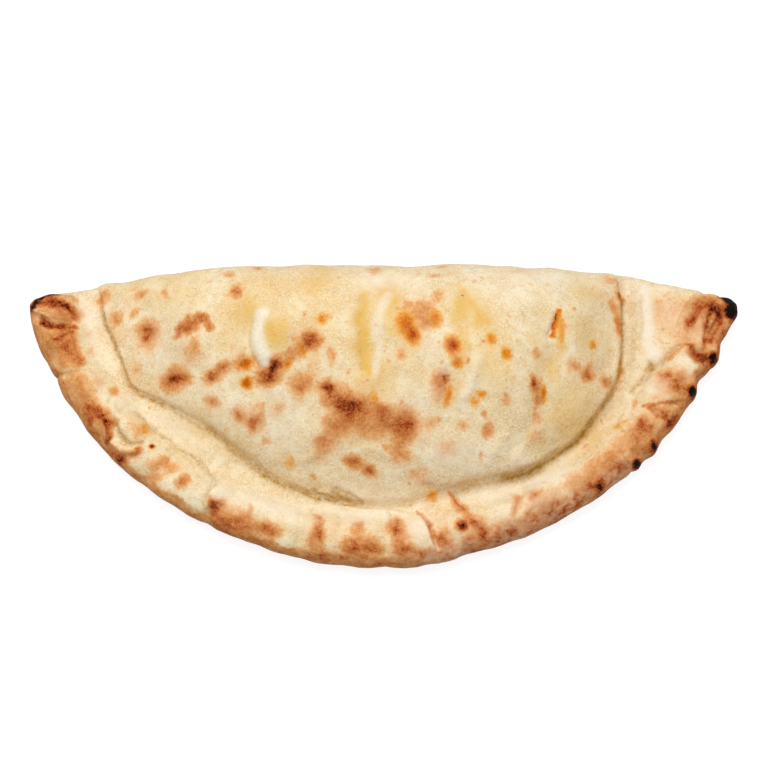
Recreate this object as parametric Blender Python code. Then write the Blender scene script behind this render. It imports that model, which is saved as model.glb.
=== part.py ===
"""A calzone: a round of pizza dough folded over its filling and crimped shut along a pleated rim.

It is one closed solid of baked dough.  Run it with: blender --background --python part.py
Lengths are in metres and +Z is up.  +X runs from the left tip to the right tip, +Y points towards
the fold, and the origin lies under the middle of the calzone, on the surface that it rests on.
"""

import math

import bpy
import numpy as np

MM = 0.001

# ---------------------------------------------------------------- driving dimensions, in metres
LENGTH = 300 * MM           # from tip to tip, the diameter of the round before it was folded
DEPTH = 126 * MM            # from the fold at the back to the rim at the front
FOLD_BOW = 13 * MM          # how far the middle of the fold stands out behind the two tips
FLAP_THICKNESS = 8 * MM     # two layers of dough with nothing between them
RIM_HEIGHT = 17.5 * MM
RIM_WIDTH = 23 * MM
PUFF_HEIGHT = 33 * MM       # how far the filled pouch rises above the flap

# ---------------------------------------------------------------- outline seen from above
RIM_SQUARENESS = {"left": 1.82, "right": 1.73}      # 2 is an ellipse, lower is more pointed
TIP_PINCH = {"left": 0.25, "right": 0.40}           # how much narrower the twisted tips are
TIP_PINCH_POWER = 8.0                               # higher keeps the pinch closer to the tips
FOLD_POWER = {"left": 4.0, "right": 6.0}            # how late the fold turns in towards the tips

# ---------------------------------------------------------------- the pouch over the filling
POUCH_CENTRE = (-5 * MM, 57 * MM)
POUCH_HALF_LENGTH = {"left": 116 * MM, "right": 106 * MM}
POUCH_REACH = 92 * MM                               # from its centre to the crease at the front
POUCH_SQUARENESS = {"left": 1.8, "right": 2.9}      # the right end is the squarer one
POUCH_CROWN = {"left": 2.4, "right": 4.0}           # higher is flatter on top, steeper at the foot

# Lumps of filling under the top layer: x, y, radius and height in millimetres.
FILLING_LUMPS = (
    (-84, 34, 15, 2.0),
    (-58, 8, 20, 2.2),
    (-40, 38, 22, 2.6),
    (-12, -4, 20, 2.4),
    (4, 36, 12, 2.6),
    (30, 20, 17, 3.0),
    (52, -2, 18, 2.2),
    (62, 34, 20, 2.4),
    (84, 22, 14, 2.0),
)

# Where the rim is pinched, from left to right: x and depth of each pleat in millimetres, and how
# far it leans to the left for each millimetre in from the edge.
RIM_PLEATS = (
    (-139, 1.6, 0.0),
    (-128, 2.2, 0.0),
    (-116, 1.6, -0.4),
    (-98, 1.4, -0.3),
    (-74, 2.4, -0.6),
    (-52, 1.0, 0.0),
    (-32, 1.0, 0.0),
    (-17, 0.8, 0.0),
    (1, 1.6, 0.1),
    (18, 2.2, 0.5),
    (33, 2.2, 0.7),
    (52, 1.6, 0.7),
    (68, 1.2, 0.6),
    (82, 1.4, 0.4),
    (95, 1.6, 0.2),
    (106, 1.6, 0.0),
    (116, 2.2, 0.0),
    (127, 1.8, -0.2),
    (137, 1.8, -0.2),
)
PLEAT_HALF_WIDTH = 3.2 * MM
PLEAT_NOTCH = 0.45          # how far a pleat cuts into the outline, as a share of its depth

# ---------------------------------------------------------------- rounding of the edges
WIDEST_AT = 0.42            # height of the widest point of an edge, as a share of the thickness
FOLD_ROUNDING = 0.78        # depth of the fold's upper curve, as a share of the thickness
UNDER_ROUNDING = 0.40       # depth of the lower curve, as a share of the upper one

# ---------------------------------------------------------------- mesh density
STATIONS = 104              # cross sections from tip to tip
SECTION_POINTS = 60         # points around each cross section
RIM_SAMPLES = 600

COLLECTION_NAME = "calzone"
DOUGH_COLOUR = (0.79, 0.58, 0.33, 1.0)
DOUGH_ROUGHNESS = 0.72


def clear_scene():
    """Remove every object of the open file."""
    for item in list(bpy.data.objects):
        bpy.data.objects.remove(item, do_unlink=True)


def pick_side(x, sides):
    """Return the left value where x is negative and the right value elsewhere."""
    return np.where(x < 0, sides["left"], sides["right"])


def tip_line():
    """Return the Y of the straight line between the two tips."""
    return DEPTH / 2 - FOLD_BOW


def fold_point(share):
    """Return X and Y on the fold; share runs from -1 at the left tip to 1 at the right tip."""
    bow = FOLD_BOW * (1 - np.abs(share) ** pick_side(share, FOLD_POWER))
    return LENGTH / 2 * share, tip_line() + bow


def rim_point(angle):
    """Return X and Y on the smooth rim; angle runs from 0 at the left tip to pi at the right."""
    along = -np.cos(angle)
    power = 2 / pick_side(along, RIM_SQUARENESS)
    share = np.sign(along) * np.abs(along) ** power
    pinch = 1 - pick_side(along, TIP_PINCH) * np.abs(share) ** TIP_PINCH_POWER
    reach = np.abs(np.sin(angle)) ** power * pinch
    return LENGTH / 2 * share, tip_line() - (DEPTH - FOLD_BOW) * reach


def pleat_depth(distance, rim_x):
    """Return how deep the rim is pinched at a distance from the edge, beside each rim X."""
    depth = np.zeros_like(rim_x)
    for x, deep, lean in RIM_PLEATS:
        away = (rim_x - x * MM + lean * distance) / PLEAT_HALF_WIDTH
        depth += deep * MM * np.exp(-away ** 2)
    return depth


def distance_to_rim(x, y):
    """Return the distance from each point to the rim, and the X of the nearest rim point."""
    rim_x, rim_y = rim_point(np.linspace(0, math.pi, RIM_SAMPLES))
    apart = np.hypot(x[:, None] - rim_x, y[:, None] - rim_y)
    nearest = apart.argmin(axis=1)
    return apart.min(axis=1), rim_x[nearest]


def rim_swell(distance, rim_x):
    """Return how far the crimped rim rises above the flap."""
    half = RIM_WIDTH / 2
    inward = np.clip((distance - half) / half, 0, 1)
    crest = RIM_HEIGHT - FLAP_THICKNESS - pleat_depth(distance, rim_x)
    return crest * (1 + np.cos(math.pi * inward)) / 2


def pouch_swell(x, y):
    """Return how far the filled pouch rises above the flap."""
    across = x - POUCH_CENTRE[0]
    power = pick_side(across, POUCH_SQUARENESS)
    along = np.abs(across) / pick_side(across, POUCH_HALF_LENGTH)
    back = np.clip(POUCH_CENTRE[1] - y, 0, None) / POUCH_REACH
    reach = (along ** power + back ** power) ** (1 / power)
    rightness = (1 + np.tanh(across / POUCH_REACH)) / 2
    crown = POUCH_CROWN["left"] + rightness * (POUCH_CROWN["right"] - POUCH_CROWN["left"])
    dome = np.clip(1 - reach ** crown, 0, 1)
    swell = PUFF_HEIGHT * dome
    for lump_x, lump_y, radius, height in FILLING_LUMPS:
        away = np.hypot(x - lump_x * MM, y - lump_y * MM) / (radius * MM)
        swell += height * MM * np.exp(-away ** 2) * dome
    return swell


def quarter_round(distance, depth):
    """Return 0 to 1 along a quarter circle that starts steep at an edge and ends level."""
    inward = np.clip(distance / depth, 0, 1)
    return np.sqrt(inward * (2 - inward))


def dough_surface(x, y, from_fold, is_top):
    """Return the height of the dough at each point, on its upper or its lower side."""
    from_rim, rim_x = distance_to_rim(x, y)
    thickness = FLAP_THICKNESS + rim_swell(from_rim, rim_x) + pouch_swell(x, y)
    widest = WIDEST_AT * thickness

    rim_depth = RIM_WIDTH / 2
    fold_depth = FOLD_ROUNDING * thickness
    over = quarter_round(from_rim, rim_depth) * quarter_round(from_fold, fold_depth)
    under = (quarter_round(from_rim, rim_depth * UNDER_ROUNDING)
             * quarter_round(from_fold, fold_depth * UNDER_ROUNDING))
    return np.where(is_top, widest + (thickness - widest) * over, widest * (1 - under))


def shape_dough(mesh):
    """Turn a unit sphere with its poles on Z into the calzone, with the poles as its tips."""
    points = np.empty(len(mesh.vertices) * 3)
    mesh.vertices.foreach_get("co", points)
    points = points.reshape(-1, 3)

    # Each ring of the sphere is one cross section, which fans out from the fold to the rim.
    station = np.arccos(np.clip(-points[:, 2], -1, 1))
    around = np.arctan2(points[:, 1], points[:, 0])
    across = (1 - np.cos(around)) / 2
    fold_x, fold_y = fold_point(station / (math.pi / 2) - 1)
    rim_x, rim_y = rim_point(station)
    x = fold_x + across * (rim_x - fold_x)
    y = fold_y + across * (rim_y - fold_y)

    _, fold_y_here = fold_point(np.clip(x / (LENGTH / 2), -1, 1))
    from_fold = np.clip(fold_y_here - y, 0, None)
    z = dough_surface(x, y, from_fold, np.sin(around) > 0)

    # Each pleat also pulls the outer edge in a little, towards the middle of the fold.
    pull = pleat_depth(np.zeros_like(rim_x), rim_x) * PLEAT_NOTCH * across ** 8
    length = np.hypot(x, y - tip_line()) + MM
    x -= pull * x / length
    y -= pull * (y - tip_line()) / length

    mesh.vertices.foreach_set("co", np.column_stack((x, y, z)).ravel())
    mesh.update()


def baked_dough():
    """Return the plain material of pale oven-baked pizza dough."""
    material = bpy.data.materials.new("baked_dough")
    material.use_nodes = True
    shader = material.node_tree.nodes["Principled BSDF"]
    shader.inputs["Base Color"].default_value = DOUGH_COLOUR
    shader.inputs["Roughness"].default_value = DOUGH_ROUGHNESS
    shader.inputs["Metallic"].default_value = 0.0
    material.diffuse_color = DOUGH_COLOUR
    return material


def make_dough(collection):
    """Model the folded and crimped dough as one solid."""
    bpy.ops.mesh.primitive_uv_sphere_add(segments=SECTION_POINTS, ring_count=STATIONS, radius=1)
    dough = bpy.context.active_object
    dough.name = "dough"
    dough.data.name = "dough"
    shape_dough(dough.data)
    dough.data.materials.append(baked_dough())
    dough.data.shade_smooth()
    for owner in list(dough.users_collection):
        owner.objects.unlink(dough)
    collection.objects.link(dough)
    return dough


def main():
    """Build the calzone in a collection of its own."""
    clear_scene()
    collection = bpy.data.collections.new(COLLECTION_NAME)
    bpy.context.scene.collection.children.link(collection)
    make_dough(collection)


main()
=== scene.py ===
# %% [markdown]
# # The looks of a baked calzone
#
# A calzone is a round of pizza dough, folded over its filling and crimped shut along a rim. The
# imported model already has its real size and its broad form. This script gives it a crust: folds,
# creases and blisters in the mesh, then the colours that the oven left on it.
#
# Lengths are in metres, as everywhere in Blender. Measures on the crust itself are easier to read
# in millimetres, so the tables below use those.

# %% Load the frame
import math

import bpy
import numpy as np
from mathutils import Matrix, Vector, noise


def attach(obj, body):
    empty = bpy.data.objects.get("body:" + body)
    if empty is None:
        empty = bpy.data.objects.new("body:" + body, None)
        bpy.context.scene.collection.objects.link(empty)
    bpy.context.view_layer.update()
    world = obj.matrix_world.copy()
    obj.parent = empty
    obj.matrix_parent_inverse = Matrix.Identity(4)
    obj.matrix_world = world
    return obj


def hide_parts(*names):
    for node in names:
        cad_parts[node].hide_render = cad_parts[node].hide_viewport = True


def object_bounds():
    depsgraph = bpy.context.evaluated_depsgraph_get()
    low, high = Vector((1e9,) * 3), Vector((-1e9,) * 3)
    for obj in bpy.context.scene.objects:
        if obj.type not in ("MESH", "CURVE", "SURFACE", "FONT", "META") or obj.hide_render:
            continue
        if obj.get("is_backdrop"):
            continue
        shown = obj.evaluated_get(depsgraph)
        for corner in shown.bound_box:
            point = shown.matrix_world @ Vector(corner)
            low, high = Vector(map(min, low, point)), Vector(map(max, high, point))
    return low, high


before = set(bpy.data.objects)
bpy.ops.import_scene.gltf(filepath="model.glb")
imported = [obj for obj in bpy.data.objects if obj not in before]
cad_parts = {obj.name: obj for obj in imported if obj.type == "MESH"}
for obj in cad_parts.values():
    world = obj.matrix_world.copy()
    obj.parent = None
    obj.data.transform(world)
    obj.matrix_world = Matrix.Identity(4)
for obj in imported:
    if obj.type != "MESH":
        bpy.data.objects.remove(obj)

MM = 0.001
cad_low, cad_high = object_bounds()
print("CAD box in mm:", [round((high - low) / MM, 1) for low, high in zip(cad_low, cad_high)])

# %% [markdown]
# ## Camera, light and floor
#
# Food like this is often shown from nearly straight above, on white, in a soft even light. The
# camera looks down at 75 degrees through a short telephoto lens, which keeps the outline true. A
# white sky lights the top and grows dim towards the ground, so that the rim's side turns dark
# near its foot. One large soft lamp, high behind the left tip, gives the folds a lit and a shaded
# flank. A lamp without the sky would leave hard black creases.

# %% Camera
CAMERA_ELEVATION = math.radians(75)
CAMERA_DISTANCE = 750 * MM
CAMERA_AIM = Vector((0, 12.7 * MM, 15 * MM))
LENS = 85.0                # millimetres, on a sensor 36 mm wide

camera_data = bpy.data.cameras.new("camera")
camera_data.lens = LENS
camera = bpy.data.objects.new("camera", camera_data)
towards_camera = Vector((0, -math.cos(CAMERA_ELEVATION), math.sin(CAMERA_ELEVATION)))
camera.location = CAMERA_AIM + towards_camera * CAMERA_DISTANCE
camera.rotation_euler = (math.pi / 2 - CAMERA_ELEVATION, 0, 0)
bpy.context.scene.collection.objects.link(camera)
bpy.context.scene.camera = camera

# %% [markdown]
# ## Colours and nodes
#
# Colours are written as the hex values of a screen. Cycles works with linear light, so one
# function turns them. Another adds a node with its settings and links, and hands back the output
# that the next node needs, which keeps the materials below short.

# %% Helpers for materials
def linear(code):
    """Return a hex colour as linear red, green, blue and alpha."""
    shares = [int(code[start:start + 2], 16) / 255 for start in (1, 3, 5)]
    light = [s / 12.92 if s <= 0.04045 else ((s + 0.055) / 1.055) ** 2.4 for s in shares]
    return (*light, 1.0)


def add_node(tree, kind, inputs=None, out=0, stops=None, **settings):
    """Add a node, set it, set or link its inputs, and return one output; stops are for a ramp."""
    node = tree.nodes.new(kind)
    for name, value in settings.items():
        setattr(node, name, value)
    for name, value in (inputs or {}).items():
        if isinstance(value, bpy.types.NodeSocket):
            tree.links.new(value, node.inputs[name])
        else:
            node.inputs[name].default_value = value
    if stops:
        elements = node.color_ramp.elements
        for place, _ in stops[2:]:
            elements.new(place)
        for element, (place, code) in zip(elements, stops):
            element.position = place
            element.color = linear(code)
    return node.outputs[out]


def new_material(name):
    """Return a material with its node tree and its Principled shader."""
    material = bpy.data.materials.new(name)
    material.use_nodes = True
    tree = material.node_tree
    return material, tree, tree.nodes["Principled BSDF"]


# %% Light
SKY_STRENGTH = 0.64
GROUND_SHARE = 0.30        # how bright the sky is below the horizon
LAMP_PLACE = Vector((-0.18, 0.50, 1.34))
LAMP_SIZE = 0.8
LAMP_POWER = 11.0

bpy.context.scene.view_settings.view_transform = "Standard"
world = bpy.data.worlds.new("studio")
world.use_nodes = True
bpy.context.scene.world = world
sky = world.node_tree
direction = add_node(sky, "ShaderNodeTexCoord")
height = add_node(sky, "ShaderNodeSeparateXYZ", {0: direction}, out=2)
strength = add_node(sky, "ShaderNodeMapRange", {0: height, 1: -0.25, 2: 0.35,
                                                3: SKY_STRENGTH * GROUND_SHARE, 4: SKY_STRENGTH})
sky.nodes["Background"].inputs["Color"].default_value = (1.0, 1.0, 1.0, 1.0)
sky.links.new(strength, sky.nodes["Background"].inputs["Strength"])

lamp_data = bpy.data.lights.new("soft_lamp", "AREA")
lamp_data.size = LAMP_SIZE
lamp_data.energy = LAMP_POWER
lamp = bpy.data.objects.new("soft_lamp", lamp_data)
lamp.location = LAMP_PLACE
lamp.rotation_euler = (-LAMP_PLACE).to_track_quat("-Z", "Y").to_euler()
bpy.context.scene.collection.objects.link(lamp)

# %% [markdown]
# ## A white ground
#
# The ground is a sheet of opal glass lit from below, as product photographers use: it stays white
# to the eye, and a shadow on it is only a breath. It is kept out of the diffuse bounces, because
# a real sheet so bright would flood the rim from below.

# %% Floor
GLOW = 0.80

bpy.ops.object.select_all(action="DESELECT")
bpy.ops.mesh.primitive_plane_add(size=20.0, location=(0, 0, -0.1 * MM))
floor = bpy.context.active_object
floor.name = "floor"
floor.visible_diffuse = False
floor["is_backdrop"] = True

opal, opal_tree, opal_shader = new_material("opal_glass")
opal_shader.inputs["Base Color"].default_value = linear("#9C9C9C")
opal_shader.inputs["Roughness"].default_value = 0.9
opal_shader.inputs["Specular IOR Level"].default_value = 0.0
opal_shader.inputs["Emission Color"].default_value = (1.0, 1.0, 1.0, 1.0)
opal_shader.inputs["Emission Strength"].default_value = GLOW
floor.data.materials.append(opal)

# %% [markdown]
# ## An even skin to work on
#
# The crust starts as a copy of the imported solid. Its triangles are long and loose, so its doubles
# are merged and a voxel remesh lays an even grid of small faces over it. Smoothing then takes
# away the facets. A subdivision surface would keep the long faces, and fine creases need short
# ones everywhere.

# %% Copy, remesh and smooth the dough
VOXEL = 0.60 * MM

crust = bpy.data.objects.new("baked_crust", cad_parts["dough"].data.copy())
bpy.context.scene.collection.objects.link(crust)
crust.data.materials.clear()


def select_only(piece):
    """Make a piece the only selected object, and the active one."""
    bpy.ops.object.select_all(action="DESELECT")
    piece.select_set(True)
    bpy.context.view_layer.objects.active = piece


def apply_modifier(piece, kind, **settings):
    """Add a modifier, set it and apply it."""
    select_only(piece)
    modifier = piece.modifiers.new(kind.lower(), kind)
    for name, value in settings.items():
        setattr(modifier, name, value)
    bpy.ops.object.modifier_apply(modifier=modifier.name)


select_only(crust)
bpy.ops.object.mode_set(mode="EDIT")
bpy.ops.mesh.select_all(action="SELECT")
bpy.ops.mesh.remove_doubles(threshold=0.01 * MM)
bpy.ops.object.mode_set(mode="OBJECT")
apply_modifier(crust, "REMESH", mode="VOXEL", voxel_size=VOXEL, use_smooth_shade=True)
apply_modifier(crust, "SMOOTH", factor=0.5, iterations=30)
print("even skin:", len(crust.data.vertices), "points")


# %% [markdown]
# ## Shaping by hand, in numbers
#
# The crust is one thin skin, so every fold in it is a small move of its points. A sculptor would
# use a brush; here a brush is a formula, and a stroke is a short list of places. Extruding or
# bevelling faces would leave edges that dough doesn't have.
#
# Points are read in millimetres, moved along the direction in which the skin faces, and written
# back.

# %% Read, write and lift the skin
def read_points():
    """Return the crust's points in millimetres."""
    flat = np.empty(len(crust.data.vertices) * 3)
    crust.data.vertices.foreach_get("co", flat)
    return flat.reshape(-1, 3) / MM


def write_points(points):
    """Put the points back on the crust, none of them below the surface that it rests on."""
    points[:, 2] = np.maximum(points[:, 2], 0)
    crust.data.vertices.foreach_set("co", (points * MM).ravel())
    crust.data.update()


def read_normals():
    """Return the direction in which the skin faces at each point."""
    flat = np.empty(len(crust.data.vertices) * 3)
    crust.data.vertices.foreach_get("normal", flat)
    return flat.reshape(-1, 3)


def ease(value, low, high):
    """Return 0 below low, 1 above high and a soft step between."""
    share = np.clip((value - low) / (high - low), 0, 1)
    return share * share * (3 - 2 * share)


def unevenness(points, size, seed):
    """Return smooth random values, about -1 to 1, that change over a size in millimetres."""
    shift = Vector((seed * 37.3, seed * 11.9, seed * 5.7))
    return np.array([noise.noise(Vector(point) / size + shift) for point in points])


def drift(points, size, seed):
    """Return small random shifts to the side and to the back, about -1 to 1 each."""
    return np.column_stack([unevenness(points, size, seed + way) for way in (0, 1)])


# %% Strokes along a path
def smooth_path(corners, steps=6):
    """Return points on a smooth curve through the corners."""
    given = np.array(corners, float)
    padded = np.vstack((2 * given[0] - given[1], given, 2 * given[-1] - given[-2]))
    t = np.linspace(0, 1, steps, endpoint=False)[:, None]
    runs = [
        0.5 * (2 * b + (c - a) * t + (2 * a - 5 * b + 4 * c - d) * t**2
               + (3 * b - a - 3 * c + d) * t**3)
        for a, b, c, d in zip(padded, padded[1:], padded[2:], padded[3:])
    ]
    return np.vstack((*runs, given[-1:]))


def trace(plan, corners, reach):
    """Return which points lie near a path, how far to its left, and how far from its ends."""
    path = smooth_path(corners)
    inside = (plan > path.min(0) - reach).all(1) & (plan < path.max(0) + reach).all(1)
    near = np.flatnonzero(inside)
    apart = np.full(len(near), np.inf)
    left = np.zeros(len(near))
    along = np.zeros(len(near))
    runs = np.diff(path, axis=0)
    lengths = np.hypot(*runs.T)
    walked = 0.0
    for start, run, length in zip(path, runs, lengths):
        away = plan[near] - start
        share = np.clip(away @ run / length**2, 0, 1)
        off = away - share[:, None] * run
        distance = np.hypot(*off.T)
        closer = distance < apart
        apart[closer] = distance[closer]
        side = np.sign(run[0] * away[:, 1] - run[1] * away[:, 0])
        left[closer] = (side * distance)[closer]
        along[closer] = (walked + share * length)[closer]
        walked += length
    from_end = np.minimum(along, walked - along)
    return near, left, from_end


def groove(plan, corners, width, depth, taper=4.0):
    """Return a sharp furrow along a path."""
    near, left, from_end = trace(plan, corners, 4 * width)
    lift = np.zeros(len(plan))
    profile = np.exp(-(np.abs(left) / width) ** 1.4)
    lift[near] = -depth * profile * ease(from_end, -0.3 * taper, taper)
    return lift


def ridge(plan, corners, width, height, taper=4.0):
    """Return a rounded ridge along a path."""
    near, left, from_end = trace(plan, corners, 4 * width)
    lift = np.zeros(len(plan))
    lift[near] = height * np.exp(-(left / width) ** 2) * ease(from_end, -0.3 * taper, taper)
    return lift


def overlap(plan, corners, height, run, taper=6.0, edge=0.5):
    """Return a layer that ends along a path: raised on its left, pressed in just right of it."""
    near, left, from_end = trace(plan, corners, 4 * run)
    lift = np.zeros(len(plan))
    fade = np.exp(-np.abs(left) / run)
    lift[near] = height * fade * np.tanh(left / edge) * ease(from_end, -0.3 * taper, taper)
    return lift


def bulge(plan, corners, height, run, taper=8.0):
    """Return a swelling on the left of a path, which drops steeply down to it."""
    near, left, from_end = trace(plan, corners, 8 * run)
    lift = np.zeros(len(plan))
    away = np.maximum(left, 0) / run
    profile = (1 - np.exp(-away)) * np.exp(-away / 3)
    lift[near] = height * profile * ease(from_end, -0.3 * taper, taper)
    return lift


def dome(plan, x, y, across, deep, height, turn=0.0, power=1.0):
    """Return a soft swelling, or a hollow where the height is negative."""
    angle = math.radians(turn)
    off = plan - (x, y)
    u = (off[:, 0] * math.cos(angle) + off[:, 1] * math.sin(angle)) / across
    v = (off[:, 1] * math.cos(angle) - off[:, 0] * math.sin(angle)) / deep
    return height * np.exp(-(u * u + v * v) ** power)


# %% [markdown]
# ## Broad form
#
# First come the forms that are felt before they are seen: the pouch heaves over lumps of filling,
# and its end folds and sags. They're low and wide, so they come before any crease.

# %% Swell the pouch
# Each row: x, y, half length, half width, height in millimetres, and turn in degrees.
SWELLINGS = (
    (-79, 27, 10, 9, 2.2, 0),        # blister with a browned ring
    (-42, 26, 9, 12, 2.4, 0),        # oily blister
    (-104, 30, 9, 15, 1.0, 15),
    (-60, -4, 15, 9, 1.2, -30),
    (-28, -12, 9, 9, 1.4, 0),
    (-20, 24, 8, 15, 1.2, 0),
    (38, -18, 17, 8, 2.0, 5),
    (5, -18, 14, 8, 1.3, 0),
    (57, -20, 4, 3, 1.4, 0),
    (49, 14, 11, 16, 1.4, 0),
    (80, 34, 11, 16, 1.6, 0),
    (84, 4, 11, 10, 1.8, 40),
    (21, 38, 11, 10, 1.2, 0),
    (8, 52, 16, 6, 0.7, 0),
    (-92, 50, 10, 5, 0.8, 0),
    (-38, -22, 7, 4, -1.2, 0),
    (-62, 33, 6, 13, -1.2, 0),
    (-30, 10, 8, 9, -0.9, 0),
    (16, 6, 6, 13, -1.2, 0),
    (67, 18, 5, 18, -1.3, -8),
    (19, 20, 6, 9, -0.9, 0),
    (-98, 14, 8, 5, -0.8, -30),
    (96, 12, 4, 8, -0.8, 10),
)
# Where the pouch stands up steeply from the rim. Each row: the path, height, how far it runs.
FEET = (
    (((-119, 50), (-116, 38), (-110, 24), (-104, 12), (-91, 5)), 2.0, 2.6),
    (((-98, 9), (-91, 5), (-76, -3), (-64, -11), (-52, -21), (-40, -28), (-26, -33)), 3.0, 3.2),
    (((-30, -33), (-10, -36), (8, -36), (25, -32), (42, -29)), 2.0, 3.0),
    (((38, -30), (54, -25.5), (64, -21.5), (76, -14), (85, -5), (91, 3), (96, 14)), 3.0, 2.8),
    (((96, 8), (100, 28), (100, 50), (97, 60)), 1.6, 2.4),
)

points = read_points()
plan = points[:, :2]
free = ease(points[:, 2], 0.5, 4.0)      # 0 where the crust rests, 1 where it is free to swell
lift = sum(dome(plan, *row[:5], turn=row[5]) for row in SWELLINGS)
lift += sum(bulge(plan, *row) for row in FEET)
lift += 0.60 * unevenness(points, 24, 1)
lift += 0.75 * unevenness(points, 11, 2)
write_points(points + read_normals() * (lift * free)[:, None])
print("swellings:", round(lift.min(), 1), "to", round(lift.max(), 1), "mm")

# %% [markdown]
# ## Creases and pleats
#
# Where the top layer meets the rim it is pressed down into a crease, sharp in places and soft in
# others. The rim was pinched between two fingers every few centimetres, so one lobe of dough laps
# over the next. A furrow makes a crease, an overlap makes a lobe's edge, and a low ridge a lip.
#
# All of them move the skin from the same smooth state, so their directions don't disturb each
# other.

# %% Where the creases run
# Each row: the path in millimetres, then width and depth.
CREASES = (
    # the left end of the pouch
    (((-121, 57), (-119, 45), (-117, 39), (-113, 32), (-110, 24), (-107, 16), (-104, 12),
      (-98, 9), (-91, 5)), 0.9, 1.6),
    (((-93, 6), (-76, -4), (-65, -12), (-57, -18), (-51, -23)), 1.2, 0.8),
    (((-60, -16), (-51, -23), (-45, -27), (-38, -30), (-30, -33), (-22, -35)), 1.1, 1.3),
    (((-21, -31), (-16, -33), (-9, -36)), 0.9, 1.6),
    # the front of the pouch
    (((-22, -35), (-11, -37), (0, -38), (11, -37), (14, -40)), 1.0, 1.2),
    (((13, -30), (20, -30.5), (27, -31), (37, -29), (47, -27)), 1.3, 1.3),
    # the right end of the pouch
    (((42, -28), (55, -25), (63, -22), (70, -17.5), (77, -13), (82.5, -7.5), (87, -1.5), (91, 5)),
     1.1, 1.9),
    (((89, -1), (94, 7), (97.5, 15), (99.5, 25), (100.3, 38), (100, 51), (98, 58)), 0.8, 1.6),
    (((93, -6), (99, 3), (104, 16), (106, 32), (107, 46), (107, 58)), 2.2, 0.8),
    (((97, 14), (93, 8), (91, -1)), 0.9, 0.9),
    (((101, 22), (99, 12), (94, 2)), 0.9, 0.8),
    # the inner edge of the rim
    (((-103, 2), (-99, -1), (-96, -5), (-91, -8)), 0.9, 1.0),
    (((-91, -8), (-86, -13), (-78, -18), (-74, -21), (-68, -27)), 1.0, 1.2),
    (((102, 9), (107, 14), (112, 22), (118, 27), (123, 32), (127, 34)), 1.3, 1.4),
    # pinches across the rim
    (((-68, -26), (-71, -33), (-75, -40)), 0.8, 1.4),
    (((2, -40), (2, -51), (1, -62)), 1.0, 1.5),
    (((14, -39), (17, -45), (19, -50), (22, -58)), 0.8, 1.5),
    (((27, -31), (30, -35), (35, -40)), 0.8, 1.7),
    (((39, -35), (43, -40), (48, -42)), 0.9, 0.9),
    (((56, -29), (55, -36), (53, -43)), 1.0, 1.2),
    (((-17, -39), (-18, -48), (-18, -60)), 1.4, 0.8),
    (((-33, -36), (-34, -46), (-34, -58)), 1.4, 0.8),
    (((-50, -30), (-51, -38)), 0.9, 0.6),
    (((-59, -29), (-61, -36)), 0.9, 0.5),
    (((107, 4), (112, 4), (118, 4.5), (124, 6)), 0.8, 1.6),
    (((108, 3.5), (111, 0), (114, -3)), 0.8, 1.6),
    (((96, -13), (99, -18), (103, -23)), 1.0, 1.3),
    (((-141, 17), (-136, 17), (-130, 17), (-122, 19)), 0.9, 1.2),
    (((-115, 3), (-113, 5), (-112, 8)), 0.7, 1.4),
    (((124, 24), (127, 25), (131, 22.5), (136, 22)), 1.0, 1.6),
    (((-84, -14), (-88, -20), (-90, -28)), 0.9, 0.7),
    # around the tongue of dough near the left end
    (((-110, 0), (-110, -5), (-107.5, -10), (-104, -12.5), (-100, -12.5), (-97, -10.5)),
     0.9, 2.6),
    (((-106, 3), (-110, 0)), 0.7, 1.4),
    # the rolled left tip
    (((-147, 43), (-142, 39), (-137, 37.5), (-133, 37.5), (-129, 39)), 1.2, 2.4),
    (((-137, 31), (-133, 33), (-130, 35)), 0.8, 1.0),
    (((-129, 45), (-130, 38), (-128, 30), (-125, 22)), 0.9, 0.9),
    # the twisted right tip
    (((127, 38), (129.5, 43.5), (133.5, 47), (138, 49), (143, 50)), 1.3, 2.6),
    (((137, 47), (136, 43), (135, 38), (134, 33), (132.5, 27)), 1.0, 2.6),
    (((142, 46), (140, 40), (137.5, 35), (135.5, 31)), 1.1, 2.2),
    (((116, 24), (122, 28.5), (127, 31), (131, 31)), 1.0, 1.4),
    # slits and dents on the pouch
    (((70.5, 38), (69, 33), (66.5, 26)), 0.9, 1.6),
    (((26, 13), (25, 8), (27, 2)), 1.3, 1.2),
    (((-9, 46), (-9.5, 34), (-9, 22), (-7.5, 9)), 2.6, 0.7),
    (((-35, 44), (-28, 34), (-25, 24)), 3.0, 0.5),
    (((-53, 35), (-55, 27), (-53.5, 19), (-49.5, 13.5)), 0.8, 0.8),
)
# Each row: the path, with the raised side on its left, then height and how far it runs.
OVERLAPS = (
    (((-121, 57), (-117, 39), (-110, 24), (-104, 12), (-91, 5)), 0.8, 5.0),
    (((42, -28), (63, -22), (77, -13), (87, -1.5), (92, 6)), 0.8, 4.0),
    (((92, 4), (98, 15), (100.5, 30), (100, 51), (98, 58)), 0.9, 4.0),
    (((14, -41), (0, -38.5), (-11, -38), (-24, -36)), 1.0, 4.0),
    (((53, -43), (56, -29)), 0.5, 3.0),
    (((-75, -40), (-71, -33), (-68, -26)), -0.9, 5.0),
    (((22, -58), (19, -50), (17, -45), (14, -39)), 1.2, 5.0),
    (((1, -62), (2, -51), (2, -40)), -0.5, 4.0),
    (((35, -40), (30, -35), (27, -31)), 0.8, 4.0),
    (((112, 2), (118, 4.5), (124, 6)), 0.7, 3.5),
    (((-122, 19), (-130, 17), (-138, 17)), -0.6, 4.0),
)
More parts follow.
